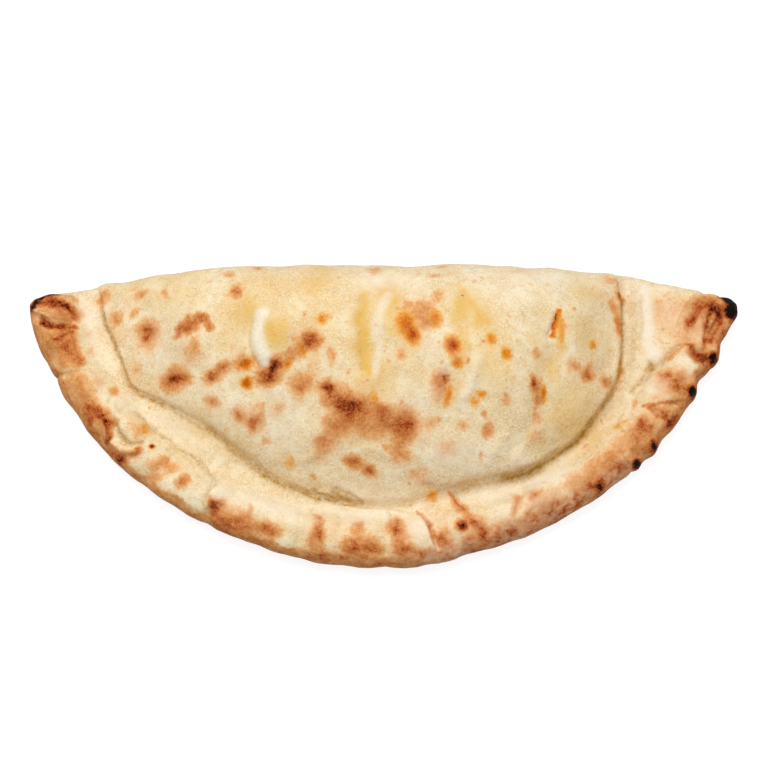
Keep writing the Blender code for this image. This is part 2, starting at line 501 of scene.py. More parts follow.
# Each row: the path, then half width and height.
RIDGES = (
    (((-114, -2), (-113.5, -7), (-111, -12), (-106, -15.5), (-100, -16), (-96, -14)), 1.5, 1.8),
    (((-149, 49), (-146, 45), (-140, 42), (-134, 40.5), (-130, 41.5)), 0.9, 1.8),
    (((-146, 53), (-140, 52), (-133, 49), (-129, 45)), 1.2, 1.0),
    (((-134, 21), (-129, 20.5), (-123, 22.5)), 1.5, 1.0),
    (((1, 46), (-2, 36), (-3.5, 25)), 2.4, 0.5),
    (((-1, 24), (-2.5, 15), (-3.5, 7)), 1.8, 0.4),
    (((-47, 37), (-50, 32), (-50.8, 26), (-49.5, 21), (-46, 15)), 2.8, 0.8),
    (((38, 18), (37, 13), (34.5, 6), (30, -1)), 2.0, 0.8),
    (((116, 21), (121, 25), (126, 28), (132, 29), (136, 27)), 1.9, 1.8),
    (((124.5, 38), (126.5, 45), (130.5, 50), (136, 52), (142, 52)), 1.5, 1.8),
    (((129.5, 35), (132, 41), (135.5, 46), (140, 48)), 1.4, 1.6),
    (((136, 26), (140, 31), (144, 37), (147, 43), (148, 48)), 2.0, 1.8),
    (((102, 10), (100, 2), (96, -5)), 1.4, 0.8),
    (((-102, 6), (-90, 0), (-76, -11), (-64, -20)), 2.6, 0.8),
    (((-97, 0), (-88, -5), (-78, -13), (-66, -22)), 2.4, 0.6),
    (((98, 54), (97.5, 40), (96.5, 26), (95, 16)), 1.6, 0.9),
    (((-24, -17), (-31, -20), (-38, -22)), 1.6, 0.6),
    (((52, -10), (46, -16), (40, -24)), 2.4, 0.7),
    (((66, -6), (58, -14), (52, -22)), 2.4, 0.8),
    (((-14, -19), (-4, -17), (6, -22)), 1.6, 0.4),
)
# Each row: x, y, half length, half width, height and turn of a small knob or dent.
KNOBS = (
    (-102, -6.5, 5.5, 5, 2.2, 0),
    (-138.5, 47, 8.5, 3.4, -2.2, -13),
    (-118, 57, 6, 5, 1.6, 0),
    (-129, 55, 4, 3, 0.9, 0),
    (-96, 60, 5, 4, 0.6, 0),
    (-139, 26, 3, 4, -1.2, 0),
    (138, 54.5, 4.5, 3, -2.2, 0),
    (146.5, 53, 3, 3, 1.8, 0),
    (134, 14, 3.5, 5, -2.4, 0),
    (101, 61, 9, 5, 2.2, 0),
    (145.5, 41, 4.5, 5, -2.4, 0),
    (141, 33.5, 5, 5, -2.8, 0),
    (-146.5, 51, 3.5, 3.5, 1.2, 0),
    (137, 25, 2.6, 2.6, 1.6, 0),
    (127, 11, 3, 3, 1.5, 0),
    (110, -13, 3, 3, 1.4, 0),
    (104, -20, 3, 2.5, 1.3, 0),
    (112, 22, 1.6, 1.2, -1.2, 40),
    (25, 8, 1.5, 1.2, -1.0, 0),
    (12, -51, 7, 9, 1.3, 0),
    (-9, -51, 6, 9, 0.9, 0),
    (-26, -49, 6, 9, 0.6, 0),
    (28, -45, 5, 8, 1.0, -25),
    (45, -38, 7, 6, 0.6, 0),
    (-100, -20, 6, 5, 0.8, 0),
    (-80, -30, 7, 5, 0.8, 0),
    (104, -8, 6, 6, 0.8, 0),
    (118, 14, 6, 5, 1.2, 0),
    (138.5, 41, 2.2, 4.5, -1.2, 0),
    (-134, 28, 6, 7, 0.8, 0),
    (-126, 10, 6, 6, 0.8, 0),
)

# %% [markdown]
# Stretched dough also puckers: short fine wrinkles run across the inner half of the rim, a few
# millimetres apart and never quite alike. They follow a rule, so a loop with a seeded generator
# lays them out, square to the rim's outline.

# %% Pucker the rim
OUTLINE_STEPS = 240
PUCKERS = 70


def rim_outline(plan):
    """Return points along the rim, the farthest of the crust in each direction from the fold."""
    centre = np.array((0, cad_high.y / MM - 13))
    away = plan - centre
    angle = np.arctan2(-away[:, 1], -away[:, 0])
    bins = np.clip((angle / math.pi * OUTLINE_STEPS).astype(int), 0, OUTLINE_STEPS - 1)
    farthest = np.zeros(OUTLINE_STEPS)
    np.maximum.at(farthest, bins[away[:, 1] < 0], np.hypot(*away[away[:, 1] < 0].T))
    directions = (np.arange(OUTLINE_STEPS) + 0.5) / OUTLINE_STEPS * math.pi
    ring = np.column_stack((-np.cos(directions), -np.sin(directions)))
    return (centre + ring * farthest[:, None])[2:-2]


def pucker_paths(outline):
    """Return rows of path, width and depth for short wrinkles across the rim's inner half."""
    chance = np.random.default_rng(11)
    rows = []
    for place in chance.uniform(6, len(outline) - 7, PUCKERS):
        here = int(place)
        run = outline[here + 4] - outline[here - 4]
        run /= np.hypot(*run)
        inwards = np.array((-run[1], run[0]))
        start = chance.uniform(15, 21)
        stop = start - chance.uniform(4, 10)
        lean = chance.uniform(-0.35, 0.35)
        corners = [outline[here] + inwards * depth + run * lean * (start - depth)
                   for depth in (start, (start + stop) / 2, stop)]
        rows.append((corners, chance.uniform(0.6, 1.1), chance.uniform(0.15, 0.55)))
    return rows


# %% Press them in
points = read_points()
plan = points[:, :2]
free = ease(points[:, 2], 0.5, 4.0)
wander = drift(points, 6.0, 21)
drawn = plan + 0.5 * wander              # a crease in dough never runs quite true
lift = sum(groove(drawn, *row) for row in CREASES)
lift += sum(groove(drawn, *row, taper=3.0) for row in pucker_paths(rim_outline(plan)))
lift += sum(overlap(drawn, *row) for row in OVERLAPS)
lift += sum(ridge(drawn, *row) for row in RIDGES)
lift += sum(dome(drawn, *row[:5], turn=row[5]) for row in KNOBS)
write_points(points + read_normals() * (lift * free)[:, None])
apply_modifier(crust, "SMOOTH", factor=0.5, iterations=1)
print("creases:", round(lift.min(), 1), "to", round(lift.max(), 1), "mm")

# %% [markdown]
# ## Fine relief and face count
#
# Baked dough has a skin like fine orange peel, with grains of flour baked on. The coarser part of
# it is real relief here, so that the outline has it too; the finest part stays in the material.
# The flat underside needs few faces, so Decimate spends them on the top.

# %% Fine relief
points = read_points()
free = ease(points[:, 2], 0.5, 4.0)
lift = 0.10 * unevenness(points, 4.5, 3) + 0.05 * unevenness(points, 1.8, 4)
lift *= 0.35 + 0.65 * free
write_points(points + read_normals() * lift[:, None])

# %% Spend the faces on the top
MOST_TRIANGLES = 190_000

def count_triangles():
    """Return how many triangles the crust would be cut into."""
    return sum(len(face.vertices) - 2 for face in crust.data.polygons)


def thin_out(share, resting):
    """Collapse faces to a share of their number, only on the underside if it is resting."""
    chosen = (read_points()[:, 2] < 2.0) if resting else np.full(len(crust.data.vertices), True)
    group = crust.vertex_groups.new(name="thin")
    group.add(np.flatnonzero(chosen).tolist(), 1.0, "REPLACE")
    apply_modifier(crust, "DECIMATE", ratio=share, vertex_group="thin")
    crust.vertex_groups.clear()


triangles = count_triangles()
print("triangles:", triangles)
thin_out(0.55, resting=True)
print("after thinning the underside:", count_triangles())
thin_out(MOST_TRIANGLES / count_triangles(), resting=False)
crust.data.shade_smooth()
print("triangles:", triangles, "before,", count_triangles(), "after")

# %% [markdown]
# ## Where the oven left its marks
#
# A hot stone oven browns dough where it stands proud: blisters, folds and the edge. The dark lines
# deep in the folds are partly scorch and partly painted shade. Each mark is a brush stroke again,
# kept on the skin as a number from 0 to 1, and the material turns the number into colour. An image
# would be another way, but strokes stay sharp at any size and need no unwrapping.

# %% Toasted marks
# Each row: x, y, half length, half width, turn in degrees, heat. These are dark in the middle.
TOASTED_SPOTS = (
    # the left end of the pouch
    (-98, 33.5, 5.2, 4.9, 0, 0.69), (-98, 29, 5.5, 5, 0, 0.30), (-86, 13.5, 6.9, 4.7, -8, 0.74),
    (-88, 14, 6, 3.6, 0, 0.42), (-80, 32.5, 4.3, 3.8, 0, 0.71), (-77, 25, 3, 3, 0, 0.46),
    (-78, 23, 7, 5, 0, 0.28), (-112, 41, 3.6, 3.6, 0, 0.40), (-104, 42, 2.8, 2.8, 0, 0.34),
    (-101, 50, 3.4, 2.4, 20, 0.46), (-91, 49, 2.6, 2.6, 0, 0.46), (-118.5, 53, 4, 5, -30, 0.46),
    (-132, 53, 4, 2.4, 0, 0.40), (-105, 53, 4, 2.2, 20, 0.26), (-60, 47, 3.6, 3.6, 0, 0.64),
    (-110, 34, 5, 6, 10, 0.16), (-103, 20, 3, 3, 0, 0.26), (-124, 36, 1.2, 3, 0, 0.34),
    (-123, 28, 1.6, 4.4, 0, 0.28), (-107, 47, 3, 5, 0, 0.20),
    # round the oily blister
    (-46, 12, 6, 4.9, 30, 0.84), (-43, 15, 4.5, 3.4, 30, 0.58), (-29, 24.5, 4.2, 4.5, 0, 0.76),
    (-57, 17, 5.4, 3.8, 0, 0.62), (-70, 13, 4.3, 3.8, 20, 0.71), (-65.5, 16, 3.8, 3.1, 40, 0.63),
    (-33, 8, 6.6, 5.6, 35, 0.44), (-34, 5, 3.6, 3.4, 0, 0.56), (-43, -1, 4, 4, 0, 0.26),
    (-21, 18, 2.2, 5, 0, 0.34), (-30, -2, 1.8, 0.8, 25, 0.34), (-61, 24, 2.4, 2.4, 0, 0.28),
    (-28, 16, 4, 4, 0, 0.24), (-70, 3, 4.2, 2.9, -35, 0.54), (-48, -13, 2.6, 2.6, 0, 0.40),
    (-59, -3, 3.8, 3.2, -40, 0.56), (-52.5, -6, 4.2, 4.2, 30, 0.60), (-53, 0, 3, 3, 0, 0.30),
    # the darkest places of the big scorch, and its tails
    (-22, 4.5, 5.2, 4, -45, 0.73), (-17, 0, 4.6, 3.8, -45, 0.64), (-12, -3, 6.5, 4.6, 0, 0.60),
    (0, -4, 5.6, 4.5, -20, 0.56), (8, -8, 6, 6, 0, 0.56), (-25, -15, 3.6, 6.4, -25, 0.46),
    (6, -17.5, 4.4, 4.6, 0, 0.46), (-20, -9, 6, 6, 0, 0.40),
    # the middle
    (-4, 56, 3.6, 2.8, 0, 0.36), (-64, 56, 2.8, 2, 0, 0.36), (-52, 60, 3, 2.4, 0, 0.40),
    (24, 61, 3.4, 2, 0, 0.36), (22, 43, 2.6, 4.4, -20, 0.38), (9, 38, 2.8, 3.4, 0, 0.44),
    (7, 18, 2.4, 3, 0, 0.44), (32, 44, 0.9, 0.9, 0, 0.80), (40, 23, 1.3, 1.2, 0, 0.50),
    (62, 20, 2.2, 2.2, 0, 0.40), (61, 8, 2.8, 4.2, 10, 0.67),
    (62.3, 2.5, 2.7, 3.6, 0, 0.56), (22.5, 7, 3.6, 5.2, 10, 0.48), (25, 8.5, 1.6, 1.6, 0, 0.86),
    (32, -9, 3.4, 3.4, 0, 0.34), (42, -9.5, 3, 3.4, 0, 0.50), (49, 1, 2.6, 3, 0, 0.30),
    (62, -5, 3.4, 3, 0, 0.34), (26, -17, 5, 3, 0, 0.34), (18, -8, 5, 4, 0, 0.30),
    (20, 53, 4, 2, 0, 0.28), (55, 57, 8, 2.5, 0, 0.22), (62, -12, 4, 4, 0, 0.26),
    (14, -26, 5, 3, 0, 0.28), (-12, -22, 5.2, 2.9, -20, 0.62), (-6, -25, 4, 2.5, -20, 0.58),
    # the right end of the pouch
    (99, 52, 2.9, 3.4, 0, 0.63), (96, 46, 3, 3.6, 30, 0.50), (98, 39, 2.2, 6, 8, 0.59),
    (99, 20, 1.8, 6, 0, 0.40), (92, 13, 3.6, 3.4, 0, 0.56), (77, 17, 3.1, 3.1, 0, 0.58),
    (83.5, 15, 3.1, 4, 0, 0.67), (96, 58, 7, 3.6, 0, 0.28), (90, 50, 3, 3, 0, 0.22),
    # the left end of the rim
    (-121, -1, 4, 4, 0, 0.74), (-115, -1, 4.5, 3.4, -30, 0.58), (-108, -19, 2.9, 1.8, -30, 0.83),
    (-101, -7, 4.4, 4.4, 0, 0.30), (-82, -29, 3.1, 3.1, 0, 0.64),
    (-87, -23, 4, 3, 0, 0.36), (-98, 5, 0.8, 0.8, 0, 0.50), (-118, 14, 4, 4, 0, 0.20),
    # the front of the rim
    (-26, -51, 3.5, 4.1, 0, 0.54), (-13, -56, 4.8, 3.7, 0, 0.54), (-4.5, -56.5, 4.8, 3.7, 0, 0.54),
    (5.2, -48.5, 4.3, 5.2, 0, 0.54), (8, -57, 5.2, 4.1, 0, 0.54), (-67, -41, 5.4, 5.4, 0, 0.51),
    (-57, -46, 6.7, 4.1, -10, 0.51), (-46, -49, 4.5, 2.9, 0, 0.58), (24, -53, 3.4, 3.6, 0, 0.61),
    (40, -49, 4.9, 4.9, 0, 0.57),
    (62, -34.5, 4.4, 3.2, 0, 0.52), (20, -34, 3, 2, 0, 0.34), (35, -45, 5, 4, 0, 0.42),
    # the right end of the rim
    (88, -30, 3.8, 3.6, 0, 0.80), (104.5, -20.5, 3, 2.6, 0, 0.62), (110.5, -13, 2.6, 3.4, 0, 0.62),
    (106, -5, 4, 5.2, 0, 0.61), (118, -1.5, 4.9, 4.3, 0, 0.66), (127.5, 10, 3, 3, 0, 0.62),
    (121, 13, 6, 4.5, -20, 0.59), (117, 16, 3.4, 3.8, 40, 0.56), (113, 7, 4, 3, 0, 0.34),
    (131.5, 24, 4.5, 2.7, 0, 0.74), (136.5, 24, 3, 3, 0, 0.62), (115, 0, 4, 3, -30, 0.40),
    (109, -6, 4, 5, -30, 0.46), (102, -14, 4, 4, 0, 0.44),
)
# Broad scorched patches, even inside. Rows as above.
TOASTED_PATCHES = (
    # the big scorch and the middle of the pouch
    (-18, 1, 9, 6, -40, 0.52), (-11, -4, 11, 8, 0, 0.56), (1, -7, 8, 7, -15, 0.46),
    (8, -9, 7.5, 8, 0, 0.54), (-18, -8, 8, 7, 0, 0.38), (-24, -15, 5, 7, -25, 0.32),
    (7, -17, 5, 6, 0, 0.34), (-6, -11, 9, 4, 0, 0.36), (-8, -5, 20, 12, -12, 0.16),
    (16, 34, 6, 8, 0, 0.42), (23, 6, 5, 8, 0, 0.40),
    # the left end of the rim
    (-125, 10, 7, 9, 25, 0.38), (-136, 29, 6, 10, 28, 0.46), (-132, 30, 4.5, 8, 20, 0.52),
    (-117, -6, 4, 5, -30, 0.44), (-92, -21, 6, 3.4, 15, 0.44), (-94, -27, 6, 2.6, 10, 0.34),
    (-122, 4, 5, 6, 20, 0.40), (-139, 48, 7, 3, -13, 0.50),
    (-138, 43, 9, 3, -13, 0.38), (-135, 41, 6, 3, -13, 0.38), (-141, 32, 4, 10, 25, 0.40),
    (-132, 22, 6, 4, 0, 0.42),
    (-128, 13, 7, 6, 25, 0.36),
    # the front of the rim
    (-68, -39, 4.6, 4.6, 0, 0.46), (-59, -45, 9, 4.4, -18, 0.46), (-54.5, -41, 2.2, 4, 0, 0.44),
    (-48, -48, 8, 3, -8, 0.48), (-65, -48, 7, 3, -20, 0.46), (-58, -44, 17, 7, -22, 0.20),
    (-26.5, -46, 3.0, 5.4, 0, 0.50), (-27, -53, 4.6, 5, 0, 0.48), (-28, -58, 8, 3.4, 0, 0.42),
    (-10.5, -47.5, 3.0, 5.4, 0, 0.46), (-10, -54.5, 8.5, 4, 0, 0.46), (-10, -57, 10, 3, 0, 0.44),
    (4.5, -46.5, 2.9, 5.6, 0, 0.56), (7, -55, 4.6, 5, 0, 0.48), (13, -58, 6, 3, 0, 0.36),
    (24, -52, 4, 5, 0, 0.38), (38, -47, 8, 6, -15, 0.34), (-18, -50, 22, 9, 0, 0.14),
    (16, -48, 14, 9, 0, 0.14),
    # the right end of the rim
    (90, -21, 9, 5.5, 30, 0.47), (80, -29, 10, 6, 22, 0.40), (66, -37, 12, 6, 18, 0.30),
    (104, -9, 6, 9, -30, 0.46), (110, -2, 5, 5, 0, 0.30), (121, 13, 9, 7, -20, 0.50),
    (116, 2, 8, 4, 15, 0.26), (131, 25, 7, 3.6, -10, 0.44), (97, -14, 7, 5, 35, 0.34),
    # the twisted tip and the flap beside it
    (121, 45, 13, 13, 0, 0.27), (128, 34, 8, 8, 0, 0.26), (137, 42, 8, 10, -15, 0.54),
    (137.5, 33, 4, 4, 0, 0.42), (135, 30, 4, 3.5, 0, 0.48),
    (133, 48, 7, 4, 20, 0.48),
    (141, 36, 4, 9, -25, 0.40), (131, 49, 7, 4, 20, 0.34), (104, 50, 4, 7, 0, 0.14),
)
# Each row: the path, half width, heat.
TOASTED_STROKES = (
    (((-85, 29.5), (-82.5, 34.5), (-78, 36), (-73, 34.5), (-71, 31)), 2.2, 0.54),
    (((-44, 14), (-37, 18.5), (-31, 23)), 3.2, 0.46),
    (((-50, -4), (-50, 0)), 2.0, 0.36),
    # the left end of the rim
    (((-133, 36), (-131, 29), (-127, 21)), 3.4, 0.46),
    (((-122, 3), (-117, 0), (-112, -4)), 2.4, 0.60),
    (((-114, -3), (-112.5, -8), (-113, -12)), 1.6, 0.72),
    (((-113, -14), (-108, -17), (-103, -17.5), (-100, -16)), 2.2, 0.52),
    # the front of the rim
    (((-70, -37), (-68, -43), (-60, -46)), 2.0, 0.56),
    (((16, -42), (19, -49), (23, -55)), 1.6, 0.48),
    (((29, -36), (33, -41), (36, -46)), 2.6, 0.44),
    (((54, -36), (53.5, -39), (52, -42)), 2.4, 0.42),
    # the right end of the rim
    (((116, 4), (121, 6)), 2.0, 0.30),
    (((111, 3), (115, -1), (118, -4)), 1.8, 0.60),
)
# Freckles too faint to place one by one, thicker towards the right end.
FRECKLES = 130
FLAP_FRECKLES = 30
chance = np.random.default_rng(21)
for _ in range(FRECKLES):
    size = chance.uniform(0.7, 1.5)
    TOASTED_SPOTS += ((chance.triangular(-140, 125, 145), chance.uniform(-30, 58), size,
                       size * chance.uniform(0.7, 1.4), 0, chance.uniform(0.18, 0.46)),)
for _ in range(FLAP_FRECKLES):
    size = chance.uniform(0.6, 1.0)
    TOASTED_SPOTS += ((chance.uniform(113, 131), chance.uniform(31, 57), size,
                       size * chance.uniform(0.7, 1.8), 0, chance.uniform(0.24, 0.48)),)

# Fine dark lines in the folds of the two tips and the tongue, and in a slit and some pinches:
# partly scorch, partly painted shade on the side of each fold turned from the lamp. Rows as above.
SCORCH_AND_SHADE_LINES = (
    (((70.4, 37), (69.2, 33), (67.6, 28.5)), 0.7, 0.72),
    (((-147.5, 46), (-146.5, 50), (-143, 52.5), (-138, 53)), 2.0, 1.02),
    (((-146, 50), (-139, 48.5), (-133, 46), (-130, 44)), 3.6, 0.68),
    (((-140, 50), (-134, 47)), 2.0, 0.80),
    (((-143, 40), (-139, 37.5), (-134, 37), (-130, 38)), 2.0, 0.72),
    (((-142.5, 39), (-138.5, 37.5)), 1.8, 0.72),
    (((-137, 31), (-133, 33), (-130, 35)), 1.4, 0.62),
    (((-129.5, 36), (-128, 30), (-125, 21)), 1.8, 0.40),
    (((127.5, 38), (129.5, 43), (133, 46.5), (138, 48.7)), 2.6, 0.56),
    (((128, 40), (130, 43)), 2.4, 0.66),
    (((137, 47), (136, 43), (135, 38), (134, 33), (132.5, 28)), 1.8, 0.58),
    (((142, 46), (140, 40), (137.5, 35), (135.5, 31)), 1.8, 0.60),
    (((138, 46), (140, 43)), 2.8, 0.70),
    (((144.5, 51.5), (146.5, 48), (145.5, 45)), 3.4, 1.70),
    (((126, 29.5), (130, 25.5), (136, 24)), 2.2, 0.58),
    (((118, 24), (124, 28), (131, 29.5)), 1.4, 0.36),
    (((107.5, 4), (113, 4), (121, 5)), 0.9, 0.46),
    (((108, 3.5), (111, 0), (115, -2)), 1.0, 0.54),
    (((14, -40), (17, -45), (20, -52)), 0.8, 0.46),
    (((27, -32), (30, -36), (34, -41)), 0.9, 0.46),
)
# Small burnt dots with a clean edge, most of them on the knobs of the rim. Rows as for spots.
CHARRED_DOTS = (
    (31.5, -47, 2.7, 2.7, 0, 1.12), (-95, -14, 1.2, 1.2, 0, 0.95), (104.5, -20.5, 2.4, 2.2, 0, 1.15),
    (111, -13.5, 2.2, 2.8, 0, 1.20), (127.8, 10, 2.5, 2.5, 0, 1.25), (136.8, 24, 2.5, 2.3, 0, 1.25),
)
# The browned band along the outline. Each row: x, how far in it reaches, heat.
RIM_BAND = (
    (-150, 4.0, 0.44), (-135, 4.0, 0.44), (-122, 4.5, 0.44), (-108, 3.6, 0.46), (-90, 3.6, 0.42),
    (-74, 3.4, 0.42), (-60, 4.5, 0.50), (-42, 3.2, 0.44), (-20, 3.8, 0.48), (0, 4.2, 0.48),
    (18, 5.0, 0.44), (36, 8.0, 0.54), (60, 9.0, 0.56), (80, 8.4, 0.56), (95, 7.0, 0.54),
    (112, 6.0, 0.50), (130, 5.0, 0.50), (150, 4.0, 0.55),
)

# %% [markdown]
# Not every mark is heat. Grease that boiled out of the filling stains the crust a clear orange,
# oil under the skin turns it yellow, and flour stays nearly white. Some white streaks and spots are
# painted highlights, where the lamp catches a ridge, a blister's lip or a slope turned to it. A few
# yellow spots are painted shade low on the pouch, and a greenish brown is painted into the creases
# as shade.

# %% Grease, oil, flour, painted highlights and painted shade
# Spots and strokes as above.
GREASE_SPOTS = (
    (-112, 10.5, 2.2, 2.6, 0, 0.48), (-44, 26, 2.4, 2.4, 0, 0.24), (-25, 33, 2.4, 3.2, -30, 0.46),
    (-55.5, 9, 2.5, 2.8, 0, 0.62), (-56, 16.5, 3.8, 2.6, 0, 0.64), (-4, 0, 1.7, 5.0, 0, 0.42),
    (9, 31, 4.8, 6.0, 0, 0.54), (11.5, 26, 3.0, 4.6, 10, 0.70), (20, 32.5, 3.4, 4.2, 0, 0.52),
    (27.5, 21.5, 3.4, 4.2, 0, 0.70), (29.2, 15, 2.8, 2.8, 0, 0.50), (43, 24.5, 2.4, 3.0, 0, 0.46),
    (49, 19, 2.4, 3.0, 0, 0.50),
    (25.5, 2.5, 1.9, 4.8, -10, 0.50), (39, 3, 2.1, 2.1, 0, 0.42), (36, 0, 2.4, 2.4, 0, 0.34),
    (86, 27, 2.2, 2.4, 20, 0.40), (20, -33, 2.6, 1.6, 0, 0.38), (-98.5, -6, 2.2, 3.4, 0, 0.34),
    (64.5, 5, 1.6, 4.0, 0, 0.50), (99, -3, 2.6, 1.6, 20, 0.28), (96.5, -5, 2.2, 1.4, 0, 0.28),
    (-38, -21, 3.0, 2.8, 0, 0.27), (-33, 21, 1.8, 3.4, 20, 0.48), (-39, 15, 3, 2, 30, 0.50),
)
GREASE_STROKES = (
    (((71.5, 38), (70.3, 34), (68.3, 28)), 1.5, 0.50),
    (((72.5, 34), (72.3, 27)), 1.8, 0.34),
)
# Oil, and painted shade in three spots on the pouch's low flanks.
OIL_AND_SHADE_SPOTS = (
    # painted shade at the foot of the pouch's left front
    (-76, -6, 11, 6, -33, 0.35),
    (-44, 27, 7, 9, 0, 0.95), (-56, 37, 8, 10, 0, 0.75), (-62, 30, 9, 12, 0, 0.35),
    (-4, 10, 9, 9, 0, 0.75), (33, 39, 8, 7, -40, 0.84), (30, 35, 5, 6, 0, 0.62), (39, 33, 6, 8, 0, 0.70),
    (2, 41, 6, 10, 0, 0.85), (31, 22, 4, 11, -10, 0.80), (40, 16, 5, 10, -10, 0.60),
    (-8, 26, 6, 20, 0, 0.60), (-10, 30, 3, 16, 0, 0.60), (28, 4, 4, 6, -20, 0.60),
    (71.5, 27, 2.4, 7, -10, 1.00), (46, 12, 9, 14, 0, 0.35), (69, 14, 4, 8, 0, 0.60),
    (84, 30, 12, 16, 0, 0.30), (-24, 58, 9, 6, 0, 0.55), (-29, 48, 9, 6, 30, 0.55),
    # the spot at 78, -2 on this line and the one at 86, -8 on the next are painted shade low on the
    # right lobe and in its crease
    (-28, 30, 10, 14, 0, 0.35), (-88, 47, 12, 8, 0, 0.30), (78, -2, 15, 14, 0, 0.50),
    (86, -8, 9, 6, 35, 0.50), (84, 50, 7, 6, 0, 0.50), (-50, 48, 14, 8, 0, 0.40),
    (10, 22, 6, 8, 0, 0.50), (-14, -12, 10, 8, 0, 0.20), (62, 24, 4, 12, 0, 0.40),
    (-90, 56, 20, 4, 0, 0.30), (12, 10, 7, 8, 0, 0.30),
)
OILY_STROKES = (
    (((32, 46), (30, 39), (28, 31)), 2.4, 0.70),
    (((32, 46), (37, 38), (41, 31)), 3.0, 0.80),
    (((-7.5, 43), (-8.5, 30), (-8, 22), (-6.5, 9)), 3.4, 0.85),
    (((-1, 46), (3, 36), (4, 28)), 3.4, 0.60),
)
# Flour, and painted light in two spots noted below.
FLOUR_AND_HIGHLIGHT_SPOTS = (
    (24.5, 11, 4, 2, 0, 0.50), (28, -58, 14, 5, 12, 0.55), (52, -51, 14, 5, 24, 0.60),
    (74, -40, 14, 5, 31, 0.60), (95, -27, 12, 5, 33, 0.55),
    # the spot at -124, 40 on this line is painted light on the strip of flap beside the left crease
    (-124, 40, 3.4, 14, 12, 0.60), (-110, 6, 9, 5, -40, 0.50), (-84, -7, 12, 4, -33, 0.40),
    (-48, -38, 20, 5, -18, 0.75), (-8, -42, 16, 4, 0, 0.70), (14, -46, 5, 6, 0, 0.90),
    (66, -27, 14, 4, 25, 0.65), (45, -33, 9, 4, 8, 0.65), (112, 12, 5, 6, 0, 0.60),
    (62, 55, 30, 6, 0, 0.40), (-90, 30, 8, 12, 0, 0.20), (76, 24, 2.6, 8, 0, 0.40),
    (-66, -32, 5, 5, 0, 0.60), (50, 44, 14, 9, 0, 0.25), (20, 20, 8, 10, 0, 0.25),
    (-10, -34, 14, 5, 0, 0.30), (30, -20, 14, 7, 0, 0.35), (60, -40, 26, 7, 18, 0.30),
    (124, 20, 4.4, 4.4, 0, 0.40), (104, -2, 6, 10, -30, 0.20), (130, 36, 10, 12, 0, 0.20),
    (120, 45, 8, 9, 0, 0.30), (0, 50, 12, 6, 0, 0.40), (-70, 0, 10, 10, 0, 0.20),
    # the spot at 57, -21 on this line is a painted highlight on a small knob
    (-40, -10, 12, 10, 0, 0.30), (57, -21, 5, 3, 0, 0.50), (15, 2, 8, 8, 0, 0.35),
)
# Painted highlights: white streaks on the flap that faces the lamp, on the oily blister's lip and on
# ridges of the pouch.
PAINTED_HIGHLIGHT_STROKES = (
    (((110.5, 58), (110.5, 44), (111.5, 32), (114, 26)), 3.3, 0.95),
    (((-49, 35.5), (-50.6, 31), (-50.8, 25), (-49, 20), (-47, 16.5)), 2.5, 1.05),
    (((1.5, 43), (-2, 34), (-3, 26)), 2.4, 0.60),
    (((-1.5, 23), (-3, 15), (-4, 9)), 1.6, 0.55),
    (((38, 17), (36.5, 12), (34, 6), (31, 0)), 2.4, 0.45),
)
# Painted shade: greenish brown strokes along the creases and at the foot of the pouch, where the skin
# turns away from the light.
CREASE_SHADE_STROKES = (
    (((-119, 48), (-117, 40), (-113, 32), (-110, 24), (-107, 16), (-104, 12), (-98, 8.5),
      (-91, 5)), 0.9, 0.80),
    (((-104, 13), (-97, 10), (-91, 7), (-80, 2), (-70, -4), (-60, -11), (-52, -17)), 4.0, 0.22),
    (((-93, 6), (-80, -2), (-72, -7)), 1.2, 0.60),
    (((-9.5, 42), (-10.5, 31), (-10, 22), (-9, 13)), 1.6, 0.20),
    (((-72, -6), (-60, -16), (-51, -23), (-45, -27), (-38, -30), (-30, -33), (-22, -35)),
     1.7, 0.78),
    (((-52, -19), (-40, -25), (-28, -30)), 4.0, 0.30),
    (((-21, -32), (-16, -34), (-9, -36)), 1.4, 0.80),
    (((-50, -24), (-44, -27.5), (-37, -30.5), (-29, -33.5), (-21, -35.3), (-11, -37)), 0.6, 1.00),
    (((-30, -30.5), (-24, -32.5), (-19, -34.5)), 0.6, 0.90),
    (((50, -26.5), (58, -24), (66, -20), (73, -15.5), (80, -10), (85, -4)), 0.6, 0.95),
    (((-11, -37), (0, -38), (11, -37)), 1.0, 0.35),
    (((16, -30), (27, -31), (37, -29), (47, -27)), 1.6, 0.50),
    (((48, -26.5), (57, -24.5), (64, -21.5)), 2.2, 0.85),
    (((63, -21.5), (70, -17), (77, -12.5), (83, -6.5), (86, -2)), 1.6, 0.80),
    (((85, -4), (89, 2), (93, 8)), 1.2, 0.60),
    (((64, -16), (73, -10), (80, -4), (85, 3)), 5.0, 0.22),
    (((90, 3), (95, 10), (98, 18), (99.5, 28), (100.3, 38), (100, 50)), 1.1, 0.75),
    (((92, 0), (98, 9), (103.5, 21), (105, 34), (105, 50)), 3.2, 0.24),
    (((108.6, 56), (108.6, 46), (108.2, 34)), 0.8, 0.40),
    (((-103, 2), (-98, -2), (-92, -8)), 0.7, 0.45),
    (((-96, -5), (-91, -8), (-86, -13), (-80, -16), (-75, -20), (-69, -27)), 0.9, 0.50),
    (((104, 12), (109, 17), (113, 22), (119, 27), (123, 31)), 1.5, 0.60),
    (((112, 21), (112, 23)), 1.8, 0.90),
    (((-110, -3), (-108, -9), (-104, -12.5), (-99, -12)), 0.9, 0.70),
    (((-68, -27), (-71, -33), (-74, -38)), 0.7, 0.45),
    (((2, -40), (2, -47)), 0.6, 0.35),
)

# %% [markdown]
# The places of the marks are given as seen from above. At the back the crust drops almost upright,
# and a mark there would run down it like a streak, so the back is rolled out flat first.

